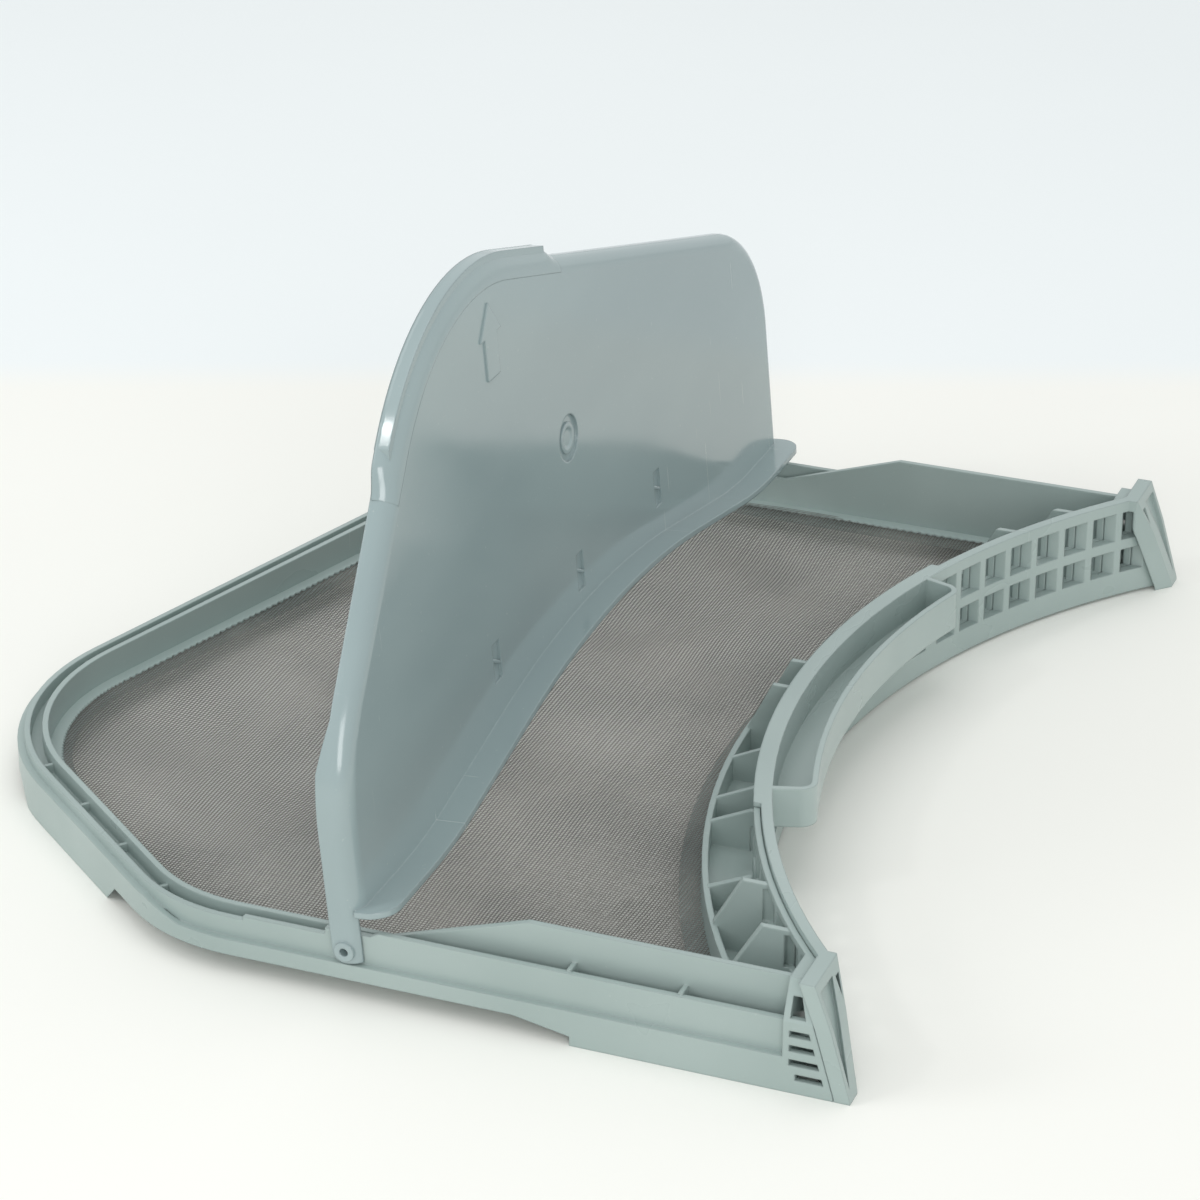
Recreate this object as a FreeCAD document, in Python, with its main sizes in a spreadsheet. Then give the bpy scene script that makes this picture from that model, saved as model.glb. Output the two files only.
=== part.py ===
import FreeCAD, Part
import math
import os
import re

import Sketcher

# Lint filter of a tumble dryer: a ribbed plastic frame that carries a woven screen, a concave
# grille with a finger cup along its front edge, and a flap that swings over the rear half.
# Millimetres, Z up. X points to the concave grille, Y runs along the hinge. Every piece is drawn
# with x = 0 on the hinge axis and y = 0 in the middle, and then placed by axis_place.

SIZES = {
    # plan of the frame, seen from above: two rails, a diagonal side and a slanted end
    "frame_width": 300.0,
    "shoulder_reach": 49.3,
    "nose_reach": 145.1,
    "nose_side": 73.1,
    "tail_reach": 77.1,
    "shoulder_round": 50.0,
    "nose_round": 66.0,
    "tail_round": 38.0,
    "rail_run": 148.0,
    "axis_place": 3.57,
    # section of the rails
    "wall": 1.6,
    "running_gap": 0.3,
    "fold_height": 9.5,
    "nose_fold_height": 12.2,
    "fold_ramp_start": 46.0,
    "fold_ramp_length": 12.0,
    "rim_height": 14.7,
    "hinge_rim_height": 15.6,
    "hinge_rim_start": 28.0,
    "side_rim_height": 18.5,
    "boss_rim_height": 17.3,
    "boss_half_width": 6.0,
    "rim_round": 2.0,
    "channel_floor": 11.0,
    "channel_width": 3.2,
    "inner_height": 15.5,
    "inner_tall": 27.2,
    "ramp_start": 9.2,
    "ramp_end": 44.8,
    "ledge_height": 6.3,
    "ledge_width": 5.7,
    "skirt_lift": 5.2,
    "skirt_dip": 2.5,
    "skirt_dip_start": 43.2,
    "skirt_step": 57.9,
    "foot_start": 71.0,
    "foot_length": 46.0,
    "foot_slope": 5.0,
    "foot_side": 58.275,
    "channel_rib": 1.2,
    "channel_rib_height": 13.2,
    "channel_rib_pitch": 24.0,
    "channel_rib_first": 38.4,
    "cross_rib_height": 19.0,
    "cross_rib_first": 56.2,
    "cross_rib_pitch": 28.0,
    # concave front
    "front_centre": "=130.93 + frame_width * 0.4909",
    "grille_radius": "=frame_width * 0.70067",
    "grille_wall": 2.8,
    "seam_gap": 0.2,
    "grille_height": 30.0,
    "grille_foot": 0.8,
    "front_wall_height": 28.5,
    "front_wall_foot": 5.0,
    "trough_width": 11.1,
    "trough_floor": 7.8,
    "trough_rim": 14.0,
    "gusset_flat": 5.4,
    "gusset_slope": 0.486,
    "rib_slope": 2.0,
    "low_rib_height": 19.3,
    "rib_wall": 1.6,
    # windows of the grille
    "upper_window_foot": 18.1,
    "upper_window_height": 8.6,
    "lower_window_foot": 7.8,
    "lower_window_height": 7.2,
    "window_first": 20.3,
    "window_pitch": 2.84,
    "window_angle": 2.2,
    "cup_window_pitch": 3.66,
    "cup_window_angle": 2.7,
    # finger cup
    "cup_reach": 11.2,
    "cup_half_angle": 18.0,
    "cup_foot": 19.2,
    "cup_wall": 1.6,
    "cup_round": 4.5,
    "cup_lip_reach": 1.9,
    "cup_lip_half_width": 73.0,
    # side blocks and corner posts
    "block_start": 111.0,
    "block_height": 28.5,
    "block_lean_foot": 19.0,
    "block_lean": 4.6,
    "slot_foot": 3.6,
    "slot_height": 1.7,
    "slot_pitch": 3.85,
    "side_window_height": 4.8,
    "post_top": 118.6,
    "post_bottom": 127.8,
    "post_thickness": 4.0,
    "post_bead": 1.6,
    "post_channel": 1.2,
    # hinge
    "hinge_height": 13.1,
    "open_angle": 85.0,
    "pin_radius": 2.0,
    "pin_reach": 4.6,
    "pin_clearance": 0.05,
    "pin_ring_radius": 2.6,
    "pin_ring_proud": 0.7,
    "pin_core_radius": 1.1,
    "pin_core_depth": 3.0,
    # flap, drawn closed about the hinge axis
    "flap_face": 5.2,
    "flap_round": 4.5,
    "inner_bevel": 0.4,
    "ear_reach": 3.3,
    "arch_start": 9.5,
    "arch_apex": 30.5,
    "arch_half_span": 112.0,
    "arch_foot_round": 150.0,
    "arch_top_round": 330.0,
    "lip_height": 7.8,
    "lip_end_round": 7.0,
    "tab_proud": 3.0,
    "tab_height": 3.4,
    "tab_start": 103.0,
    "tab_near": 104.0,
    "tab_far": 4.0,
    "recess_place": 73.6,
    "recess_side": 3.0,
    "recess_radius": 6.3,
    "recess_depth": 0.8,
    "dimple_place": 35.5,
    "dimple_pitch": 57.0,
    "dimple_length": 10.5,
    "dimple_width": 4.5,
    # woven screen
    "screen_thickness": 0.6,
    "screen_ridge": 0.4,
    "screen_ridge_width": 2.4,
    "screen_pitch": 19.5,
    "screen_gap": 12.5,
}

# where the ribs of the front trough stand, from the middle outwards on both sides
GUSSETS = (7.5, 106.5, 125.0)
LOW_RIBS = (25.0, 47.0, 59.0, 90.0)
CHANNEL_RIBS = 4
SIDE_WINDOWS = 8
CUP_WINDOWS = 10
SLOTS = 4
SCREEN_MESHES = 8
REACH = 400.0

document = FreeCAD.newDocument("lint_filter")
sheet = document.addObject("Spreadsheet::Sheet", "sizes")
for row, (alias, size) in enumerate(SIZES.items(), start=1):
    sheet.set(f"A{row}", alias)
    sheet.set(f"B{row}", str(size))
    sheet.setAlias(f"B{row}", alias)
document.recompute()


# a size name becomes a reference to its cell
def link(text):
    return re.sub(r"[a-z_]+", lambda word: "sizes." + word[0] if word[0] in SIZES else word[0], str(text))


def value(text):
    result = sheet.evalExpression(link(text))
    return float(getattr(result, "Value", result))


def bind(item, **sizes):
    for name, text in sizes.items():
        item.setExpression(name.replace("_", "."), link(text))
    return item


def place(item, x="0", y="0", z="0"):
    return bind(item, Placement_Base_x=x, Placement_Base_y=y, Placement_Base_z=z)


def box(name, x, y, z, length, width, height):
    item = document.addObject("Part::Box", name)
    bind(item, Length=length, Width=width, Height=height)
    return place(item, x, y, z)


def cylinder(name, radius, height, x="0", y="0", z="0", axis=None):
    item = document.addObject("Part::Cylinder", name)
    if axis == "y":
        item.Placement.Rotation = FreeCAD.Rotation(FreeCAD.Vector(1, 0, 0), -90)
    if axis == "x":
        item.Placement.Rotation = FreeCAD.Rotation(FreeCAD.Vector(0, 1, 0), 90)
    bind(item, Radius=radius, Height=height)
    return place(item, x, y, z)


def fuse(name, parts):
    item = document.addObject("Part::MultiFuse", name)
    item.Shapes = list(parts)
    return item


# solids that lie apart, held together without joining them
def bundle(name, parts):
    item = document.addObject("Part::Compound", name)
    item.Links = list(parts)
    return item


def cut(name, base, tool):
    item = document.addObject("Part::Cut", name)
    item.Base = base
    item.Tool = tool
    return item


def common(name, base, tool):
    item = document.addObject("Part::Common", name)
    item.Base = base
    item.Tool = tool
    return item


# A closed profile whose corners are bound to the sheet. rounds gives the radius of a corner.
def profile(name, points, rounds=None, upright=False):
    sketch = document.addObject("Sketcher::SketchObject", name)
    if upright:
        sketch.Placement.Rotation = FreeCAD.Rotation(FreeCAD.Vector(1, 0, 0), 90)
    corners = [FreeCAD.Vector(value(across), value(up), 0) for across, up in points]
    count = len(corners)
    for index in range(count):
        sketch.addGeometry(Part.LineSegment(corners[index], corners[(index + 1) % count]), False)
    for index in range(count):
        sketch.addConstraint(Sketcher.Constraint("Coincident", index, 2, (index + 1) % count, 1))
    for index, texts in enumerate(points):
        for kind, text in zip(("DistanceX", "DistanceY"), texts):
            constraint = sketch.addConstraint(Sketcher.Constraint(kind, -1, 1, index, 1, value(text)))
            sketch.setExpression(f"Constraints[{constraint}]", link(text))
    document.recompute()
    for corner, radius in (rounds or {}).items():
        known = sketch.GeometryCount
        sketch.fillet((corner - 1) % count, 2, value(radius), True, True)
        for index in range(known, sketch.GeometryCount):
            if isinstance(sketch.Geometry[index], Part.ArcOfCircle):
                constraint = sketch.addConstraint(Sketcher.Constraint("Radius", index, value(radius)))
                sketch.setExpression(f"Constraints[{constraint}]", link(radius))
    return sketch


def extrude(name, base, height, z="0"):
    item = document.addObject("Part::Extrusion", name)
    item.Base = base
    item.DirMode = "Custom"
    item.Dir = FreeCAD.Vector(0, 0, 1)
    item.Solid = True
    bind(item, LengthFwd=height)
    return place(item, z=z)


# an upright profile carried across the whole width, or from one y to another
def across(name, base, start=-REACH / 2, end=REACH / 2):
    item = document.addObject("Part::Extrusion", name)
    item.Base = base
    item.DirMode = "Custom"
    item.Dir = FreeCAD.Vector(0, 1, 0)
    item.Solid = True
    bind(item, LengthFwd=f"({end}) - ({start})")
    return place(item, y=start)


OUTLINE = [
    ("rail_run", "-frame_width / 2"),
    ("-shoulder_reach", "-frame_width / 2"),
    ("-nose_reach", "-nose_side"),
    ("-tail_reach", "frame_width / 2"),
    ("rail_run", "frame_width / 2"),
]
OUTLINE_ROUNDS = {1: "shoulder_round", 2: "nose_round", 3: "tail_round"}
outline = profile("outline", OUTLINE, OUTLINE_ROUNDS)


# the plan drawn in by an inset, as a prism
def plan_prism(name, inset, bottom, top, base=outline):
    if inset != "0":
        offset = document.addObject("Part::Offset2D", name + "_loop")
        offset.Source = base
        base = bind(offset, Value=f"-({inset})")
    return extrude(name, base, f"({top}) - ({bottom})", bottom)


def plan_ring(name, outer, inner, bottom, top):
    return cut(
        name,
        plan_prism(name + "_outer", outer, bottom, top),
        plan_prism(name + "_inner", inner, f"{bottom} - 1", f"{top} + 1"),
    )


# a full disc about the centre of the concave front
def front_disc(name, radius, bottom="-5", top="60"):
    return cylinder(name, radius, f"({top}) - ({bottom})", x="front_centre", z=bottom)


def front_ring(name, inner, outer, bottom, top):
    return cut(name, front_disc(name + "_outer", outer, bottom, top),
               front_disc(name + "_inner", inner, f"{bottom} - 1", f"{top} + 1"))


# the wedge of the front between two angles, each side of the middle line
def front_wedge(name, half_angle, reach=300, bottom="-5", top="60"):
    item = document.addObject("Part::Cylinder", name)
    item.Placement.Rotation = FreeCAD.Rotation(FreeCAD.Vector(0, 0, 1), 90)
    bind(item, Radius=reach, Height=f"({top}) - ({bottom})", Angle=f"2 * ({half_angle})")
    item.setExpression("Placement.Rotation.Angle", link(f"180 - ({half_angle})"))
    return place(item, x="front_centre", z=bottom)


GRILLE_BACK = "grille_radius + grille_wall"
FRAME_FRONT = f"{GRILLE_BACK} + seam_gap"
TROUGH_START = f"{FRAME_FRONT} + wall"
TROUGH_END = f"{TROUGH_START} + trough_width"
SCREEN_FRONT = f"{TROUGH_END} + wall"
SETBACK = "wall + running_gap"
RIM_INNER = f"{SETBACK} + wall"
INNER_OUTER = f"{RIM_INNER} + channel_width"
INNER_INNER = f"{INNER_OUTER} + wall"


# frame: rails
def build_rails():
    skirt = plan_ring("skirt", "0", "wall", "0", "nose_fold_height")
    below = across("below_skirt", profile("skirt_foot_line", [
        (-REACH / 2, "-1"), ("skirt_step", "-1"), ("skirt_step", "skirt_dip"),
        ("skirt_dip_start", "skirt_lift"), (-REACH / 2, "skirt_lift"),
    ], upright=True))
    above = across("above_fold", profile("fold_line", [
        ("-fold_ramp_start", "fold_height"), (REACH / 2, "fold_height"), (REACH / 2, "60"),
        ("-fold_ramp_start - fold_ramp_length", "60"),
        ("-fold_ramp_start - fold_ramp_length", "nose_fold_height"),
    ], upright=True))
    skirt = cut("skirt_trimmed", skirt, fuse("skirt_waste", [below, above]))

    side_shelf = common(
        "side_shelf", plan_ring("side_shelf_ring", "0", RIM_INNER, "fold_height - wall", "fold_height"),
        box("side_shelf_zone", "-fold_ramp_start - fold_ramp_length", -REACH / 2, "0", REACH, REACH, "40"),
    )
    nose_shelf = common(
        "nose_shelf",
        plan_ring("nose_shelf_ring", "0", RIM_INNER, "nose_fold_height - wall", "nose_fold_height"),
        box("nose_shelf_zone", -REACH, -REACH / 2, "0", f"{REACH} - fold_ramp_start", REACH, "40"),
    )
    nose_shelf = cut("nose_shelf_trimmed", nose_shelf, above)

    rim = plan_ring("rim", SETBACK, RIM_INNER, "fold_height - wall", "side_rim_height")
    rim_line = profile("rim_line", [
        (-REACH / 2, "rim_height"), ("-hinge_rim_start", "rim_height"),
        ("-hinge_rim_start", "hinge_rim_height"), ("-boss_half_width", "hinge_rim_height"),
        ("-boss_half_width", "boss_rim_height"), ("boss_half_width", "boss_rim_height"),
        ("boss_half_width + rim_round", "side_rim_height"), ("boss_half_width + rim_round", "60"),
        (-REACH / 2, "60"),
    ], upright=True)
    rim = cut("rim_trimmed", rim, across("above_rim", rim_line))

    floor = plan_ring("channel", SETBACK, INNER_INNER, "channel_floor - wall", "channel_floor")
    inner = plan_ring("inner_wall", INNER_OUTER, INNER_INNER, "ledge_height - wall", "inner_tall")
    inner_line = profile("inner_line", [
        (-REACH / 2, "inner_height"), ("ramp_start", "inner_height"), ("ramp_end", "inner_tall"),
        ("ramp_end", "60"), (-REACH / 2, "60"),
    ], upright=True)
    inner = cut("inner_trimmed", inner, across("above_inner", inner_line))
    ledge = cut(
        "ledge", plan_ring("ledge_ring", INNER_OUTER, f"{INNER_INNER} + ledge_width",
                           "ledge_height - wall", "ledge_height"),
        front_disc("ledge_front", SCREEN_FRONT),
    )
    rails = fuse("rails", [skirt, side_shelf, nose_shelf, rim, floor, inner, ledge, build_foot(),
                           build_channel_ribs()])
    return common("rails_trimmed", rails, box("rail_zone", -REACH, -REACH / 2, "-5",
                                              f"{REACH} + block_start + wall", REACH, "60"))


# the foot under the diagonal side, which the frame stands on together with the deep rails
def build_foot():
    zone = across("foot_zone", profile("foot_line", [
        ("-foot_start - foot_length", "0"), ("-foot_start - foot_slope", "0"),
        ("-foot_start", "skirt_lift + 1"), ("-foot_start - foot_length - foot_slope", "skirt_lift + 1"),
    ], upright=True), -REACH / 2, "-foot_side")
    return common("foot", plan_ring("foot_ring", "0", "wall", "0", "skirt_lift + 1"), zone)


# short ribs across the channel, square to the diagonal side and to the slanted end
def build_channel_ribs():
    bars = []
    corner = FreeCAD.Vector(-value("nose_reach"), -value("nose_side"), 0)
    ends = {
        "diagonal": FreeCAD.Vector(-value("shoulder_reach"), -value("frame_width / 2"), 0),
        "slanted": FreeCAD.Vector(-value("tail_reach"), value("frame_width / 2"), 0),
    }
    depth = value(f"{INNER_OUTER} + 0.4")
    for side, end in ends.items():
        along = (end - corner).normalize()
        turn = math.degrees(math.atan2(along.y, along.x))
        inward = -1 if side == "slanted" else 1
        for index in range(CHANNEL_RIBS):
            bar = document.addObject("Part::Box", f"{side}_rib_{index}")
            bind(bar, Length="channel_rib", Width=f"{INNER_OUTER} + 0.4 - ({SETBACK})",
                 Height="channel_rib_height - channel_floor + wall")
            spot = corner + along * ((value("channel_rib_first") + value("channel_rib_pitch") * index))
            if inward > 0:
                spot += FreeCAD.Vector(-along.y, along.x, 0) * value(SETBACK)
            else:
                spot += FreeCAD.Vector(along.y, -along.x, 0) * depth
            spot.z = value("channel_floor - wall")
            bar.Placement = FreeCAD.Placement(spot, FreeCAD.Rotation(FreeCAD.Vector(0, 0, 1), turn))
            bars.append(bar)
    for side in (-1, 1):
        edge = f"-frame_width / 2 + {SETBACK}" if side < 0 else f"frame_width / 2 - ({INNER_OUTER}) - 0.4"
        for index in range(2):
            bars.append(box(f"cross_rib_{index}_{'near' if side < 0 else 'far'}",
                            f"cross_rib_first + {index} * cross_rib_pitch", edge, "channel_floor - wall",
                            "channel_rib", f"{INNER_OUTER} + 0.4 - ({SETBACK})",
                            "cross_rib_height - channel_floor + wall"))
    return common("channel_ribs", fuse("channel_bars", bars),
                  plan_prism("channel_room", f"{SETBACK} + wall / 2", "0", "grille_height"))


# frame: front wall, trough and its ribs
def build_trough():
    zone = box("trough_zone", "0", f"-frame_width / 2 + {INNER_OUTER}", "-5", "block_start + wall",
               f"frame_width - 2 * ({INNER_OUTER})", "60")
    front = front_ring("front_wall", FRAME_FRONT, TROUGH_START, "front_wall_foot", "front_wall_height")
    floor = front_ring("trough_base", FRAME_FRONT, SCREEN_FRONT, "trough_floor - wall", "trough_floor")
    rim = front_ring("trough_wall", TROUGH_END, SCREEN_FRONT, "ledge_height - wall", "trough_rim")
    ledge = front_ring("front_ledge", TROUGH_END, f"{SCREEN_FRONT} + ledge_width", "ledge_height - wall",
                       "ledge_height")
    return common("trough", fuse("trough_parts", [front, floor, rim, ledge, build_trough_ribs()]), zone)


def build_trough_ribs():
    def slab(name, y, top):
        return box(name, "0", f"{y} - rib_wall / 2", "trough_floor - wall / 2", "block_start + wall",
                   "rib_wall", f"{top} - trough_floor + wall / 2")

    def envelope(name, top, top_radius, slope):
        item = document.addObject("Part::Cone", name)
        rise = f"({top} - trough_floor + 1)"
        bind(item, Radius1=f"{top_radius} + {rise} * {slope}", Radius2=top_radius, Height=rise)
        place(item, x="front_centre", z="trough_floor - 1")
        return common(name + "_ring", item, front_ring(name + "_band", f"{FRAME_FRONT} + wall / 2",
                                                       f"{TROUGH_END} + wall / 2", "0", "60"))

    tall = [slab(f"gusset_{index}_{side}", side * y, "front_wall_height - 0.5")
            for index, y in enumerate(GUSSETS) for side in (-1, 1)]
    low = [slab(f"low_rib_{index}_{side}", side * y, "low_rib_height")
           for index, y in enumerate(LOW_RIBS) for side in (-1, 1)]
    gussets = common("gussets", fuse("gusset_slabs", tall), envelope(
        "gusset_envelope", "front_wall_height - 0.5", f"{TROUGH_START} + gusset_flat", "gusset_slope"))
    ribs = common("low_ribs", fuse("low_rib_slabs", low), envelope(
        "low_rib_envelope", "low_rib_height", f"{TROUGH_START} + 1", "rib_slope"))
    return fuse("trough_ribs", [gussets, ribs])


# The slanted end of the grille: everything beyond this line, seen from the side, is cut away.
# back draws the line in, so that the frame's block ends behind the post.
def end_zone(name, back, start=-REACH / 2, end=REACH / 2):
    return across(name, profile(name + "_line", [
        (f"post_top - ({back})", "60"), (f"post_top - ({back})", "grille_height"),
        (f"post_top + (post_bottom - post_top) * 0.45 - ({back})", "grille_height * 0.62"),
        (f"post_bottom - ({back})", "grille_foot"), (f"post_bottom - ({back})", "-5"),
        (REACH / 2, "-5"), (REACH / 2, "60"),
    ], upright=True), start, end)


# frame: hollow louvred blocks at both ends of the front
def build_blocks():
    outside = []
    inside = []
    leans = []
    slots = []
    for side, sign in (("near", -1), ("far", 1)):
        width = "30"
        edge = "-frame_width / 2" if sign < 0 else f"frame_width / 2 - {width}"
        outside.append(box(f"block_{side}", "block_start", edge, "0", "30", width, "block_height"))
        edge = "-frame_width / 2 + wall" if sign < 0 else f"frame_width / 2 - wall - {width}"
        inside.append(box(f"block_hollow_{side}", "block_start + wall", edge, "-1", "30", width,
                          "block_height - wall + 1"))
        lean = profile(f"block_lean_line_{side}", [
            (f"{sign} * frame_width / 2", "block_lean_foot"),
            (f"{sign} * (frame_width / 2 + 10)", "block_lean_foot"),
            (f"{sign} * (frame_width / 2 + 10)", "60"),
            (f"{sign} * (frame_width / 2 - block_lean)", "60"),
            (f"{sign} * (frame_width / 2 - block_lean)", "block_height"),
        ])
        lean.Placement.Rotation = FreeCAD.Rotation(0.5, 0.5, 0.5, 0.5)
        wedge = document.addObject("Part::Extrusion", f"block_lean_{side}")
        wedge.Base = lean
        wedge.DirMode = "Custom"
        wedge.Dir = FreeCAD.Vector(1, 0, 0)
        wedge.Solid = True
        bind(wedge, LengthFwd="60")
        leans.append(place(wedge, x="block_start - 1"))
        edge = f"{sign} * frame_width / 2 - 3"
        for index in range(SLOTS):
            slots.append(box(f"slot_{index}_{side}", f"block_start + wall * (1 + {max(0, 1 - index)})",
                             edge, f"slot_foot + {index} * slot_pitch", "30", "6", "slot_height"))
        slots.append(box(f"side_window_{side}", "block_start + wall", f"{sign} * frame_width / 2 - 7",
                         f"slot_foot + {SLOTS} * slot_pitch + slot_height / 2", "30", "14",
                         "side_window_height"))
    solid = cut("block_solid", fuse("block_boxes", outside), front_disc("block_front", FRAME_FRONT))
    solid = cut("block_leaning", solid, fuse("block_leans", leans))
    hollow = cut("block_hollow", fuse("block_hollows", inside), front_disc("block_back", TROUGH_START))
    lean_gap = fuse("block_lean_walls", [place_copy(item, f"{item.Name}_wall", sign)
                                         for item, sign in zip(leans, (1, -1))])
    hollow = cut("block_hollow_leaning", hollow, lean_gap)
    post_room = "post_thickness + seam_gap"
    hollow = cut("block_hollow_short", hollow, end_zone("block_end_wall", f"{post_room} + wall"))
    slot_zone = cut("slot_zone", fuse("slots", slots), end_zone("slot_end", f"{post_room} + wall"))
    blocks = cut("blocks_open", cut("block_shells", solid, hollow), slot_zone)
    return cut("blocks", blocks, end_zone("block_end", post_room))


# the lean's cutting wedge moved inwards by one wall, for the inside of the block
def place_copy(item, name, sign):
    copy = document.addObject("Part::Extrusion", name)
    copy.Base = item.Base
    copy.DirMode = "Custom"
    copy.Dir = item.Dir
    copy.Solid = True
    bind(copy, LengthFwd="60")
    return place(copy, x="block_start - 1", y=f"{sign} * wall")


def build_frame():
    whole = fuse("frame_whole", [build_rails(), build_trough(), build_blocks()])
    holes = []
    for side, sign in (("near", -1), ("far", 1)):
        holes.append(cylinder(f"pin_hole_{side}", "pin_radius + pin_clearance", "12", y=f"{sign} * frame_width / 2 - 6",
                              z="hinge_height", axis="y"))
    windows = build_windows("frame", f"{FRAME_FRONT} - 1", f"{TROUGH_START} + 1")
    frame = cut("filter_frame", whole, fuse("frame_openings", holes + windows))
    return frame


# Windows of the grille, cut along X through the grille and the frame's front wall.
def build_windows(name, inner, outer):
    columns = []
    for index in range(SIDE_WINDOWS):
        columns.append((f"window_first + {index} * window_pitch", "window_angle", True))
    for index in range(CUP_WINDOWS // 2):
        columns.append((f"({index} + 0.5) * cup_window_pitch", "cup_window_angle", False))
    bars = []
    for index, (angle, width, tall) in enumerate(columns):
        rows = [("lower_window_foot", "lower_window_height")]
        if tall:
            rows.append(("upper_window_foot", "upper_window_height"))
        for row, (foot, height) in enumerate(rows):
            for sign in (-1, 1):
                centre = f"{sign} * grille_radius * sin(({angle}) * 1 deg)"
                half = f"grille_radius * cos(({angle}) * 1 deg) * sin({width} / 2 * 1 deg)"
                bars.append(box(f"{name}_window_{index}_{row}_{'near' if sign < 0 else 'far'}",
                                "front_centre - 2 * grille_radius", f"{centre} - {half}", foot,
                                "2 * grille_radius",
                                f"2 * {half}", height))
    band = front_ring(f"{name}_window_band", inner, outer, "0", "60")
    return [common(f"{name}_windows", fuse(f"{name}_window_bars", bars), band)]


# the two upright edges of the finger cup that stand furthest into the hollow front
def rounded_uprights(name, base, radius):
    document.recompute()
    edges = []
    reach = min(vertex.Point.distanceToPoint(FreeCAD.Vector(value("front_centre"), 0, vertex.Z))
                for vertex in base.Shape.Vertexes)
    for index, edge in enumerate(base.Shape.Edges, start=1):
        first, last = edge.Vertexes[0].Point, edge.Vertexes[-1].Point
        upright = abs(first.x - last.x) + abs(first.y - last.y) < 0.001 and abs(first.z - last.z) > 1
        out = first.distanceToPoint(FreeCAD.Vector(value("front_centre"), 0, first.z)) < reach + 0.01
        if upright and out:
            edges.append((index, value(radius), value(radius)))
    item = document.addObject("Part::Fillet", name)
    item.Base = base
    item.Edges = edges
    return item


def build_grille():
    arc = common("grille_arc", front_ring("grille_ring", "grille_radius", GRILLE_BACK, "grille_foot",
                                          "grille_height"),
                 box("grille_zone", "0", "-frame_width / 2", "-5", "post_bottom + 5", "frame_width", "60"))
    posts = []
    for side, sign in (("near", -1), ("far", 1)):
        edge = "-frame_width / 2" if sign < 0 else "frame_width / 2 - 16"
        posts.append(box(f"post_{side}", "post_top - post_thickness", edge, "0", "30", "16",
                         "grille_height"))
    post_body = common("post_body", fuse("post_boxes", posts), end_zone("post_back", "post_thickness"))
    post_body = cut("post_front", post_body, front_disc("post_cut", "grille_radius - post_bead"))
    groove_zone = cut("post_groove_body", end_zone("post_groove_back", "post_channel"), front_disc(
        "post_groove_front", "grille_radius + post_bead"))
    groove_room = box("post_groove_room", "0", "-frame_width / 2 + wall", "2.5", REACH,
                      "frame_width - 2 * wall", "grille_height - 5")
    groove = common("post_groove", groove_zone, groove_room)
    body = cut("grille_plain", fuse("grille_and_posts", [arc, post_body]), end_zone("grille_end", "0"))
    body = cut("grille_grooved", body, groove)

    cup = common("cup_body", front_ring("cup_ring", "grille_radius - cup_reach", f"{GRILLE_BACK} - wall / 2",
                                        "cup_foot", "grille_height"),
                 front_wedge("cup_wedge", "cup_half_angle"))
    pocket = common(
        "cup_pocket",
        front_ring("cup_pocket_ring", "grille_radius - cup_reach + cup_wall", "grille_radius",
                   "cup_foot + cup_wall", "grille_height + 1"),
        front_wedge("cup_pocket_wedge", "cup_half_angle - cup_wall / grille_radius * 180 / pi"),
    )
    cup = rounded_uprights("cup", cup, "cup_round")
    pocket = rounded_uprights("cup_pocket_rounded", pocket, "cup_round - cup_wall")
    lip = common(
        "cup_lip",
        front_ring("cup_lip_ring", "grille_radius", f"{GRILLE_BACK} + cup_lip_reach",
                   "front_wall_height + seam_gap", "grille_height"),
        box("cup_lip_zone", "0", "-cup_lip_half_width", "0", REACH, "2 * cup_lip_half_width", "60"),
    )
    body = cut("grille_cup", fuse("grille_with_cup", [body, cup, lip]), pocket)
    windows = build_windows("grille", "grille_radius - 1", f"{GRILLE_BACK} + 1")
    return cut("front_grille", body, windows[0])


# flap, drawn closed with the hinge axis as its origin
FLAP_OUTLINE = [("ear_reach" if x == "rail_run" else x, y) for x, y in OUTLINE]


def rounded_block(name, inset, bottom, top, radius, kind):
    sketch = profile(name + "_outline", FLAP_OUTLINE, OUTLINE_ROUNDS)
    prism = plan_prism(name + "_prism", inset, bottom, top, base=sketch)
    document.recompute()
    height = value(top)
    front = value("ear_reach") - 0.01 - (value(inset) if inset != "0" else 0)
    edges = []
    for index, edge in enumerate(prism.Shape.Edges, start=1):
        level = all(abs(vertex.Z - height) < 0.001 for vertex in edge.Vertexes)
        at_front = all(vertex.X > front for vertex in edge.Vertexes)
        if level and not at_front:
            edges.append((index, value(radius), value(radius)))
    item = document.addObject(kind, name)
    item.Base = prism
    item.Edges = edges
    return item


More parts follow.
